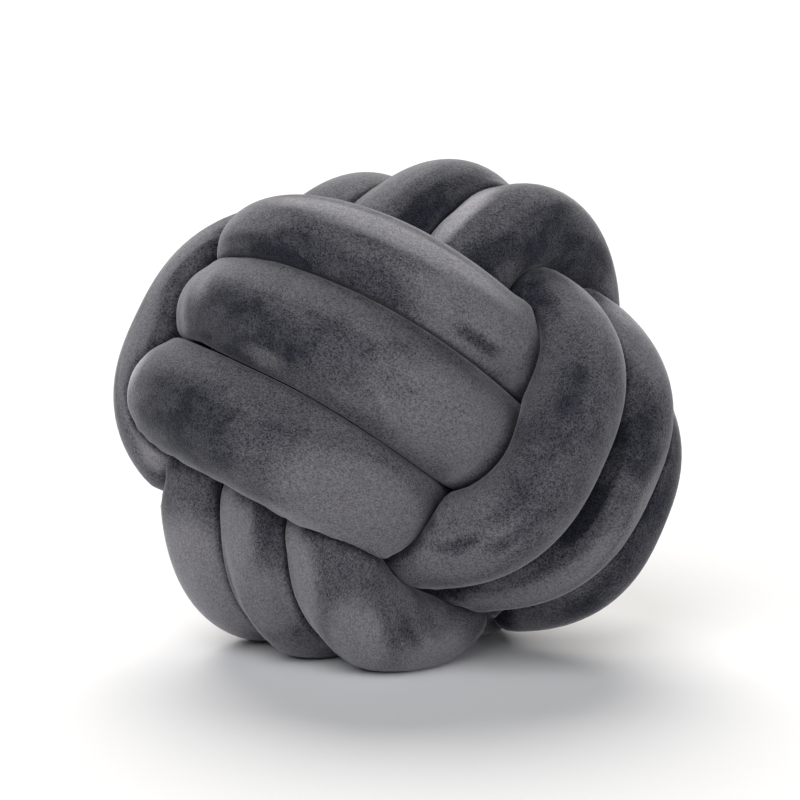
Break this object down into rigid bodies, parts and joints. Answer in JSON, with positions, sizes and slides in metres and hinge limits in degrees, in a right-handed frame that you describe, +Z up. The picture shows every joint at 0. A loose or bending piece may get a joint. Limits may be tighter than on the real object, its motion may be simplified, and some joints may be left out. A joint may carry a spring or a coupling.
{
  "type": "knotted ball cushion",
  "caption": "Round scatter cushion made of one stuffed plush tube, tied on itself as a monkey's fist knot.",
  "frame": {"origin": "middle of the bounding box at the bottom, on the surface the cushion lies on", "axes": "+Z up; -Y towards the side with the three long slanting strands; +X to that side's right"},
  "size_m": [0.3054, 0.249, 0.26],
  "materials": {
    "plush": "short pile plush with a soft sheen"
  },
  "bodies": {
    "root": {"knot_cushion": "plush"}
  },
  "joints": []
}
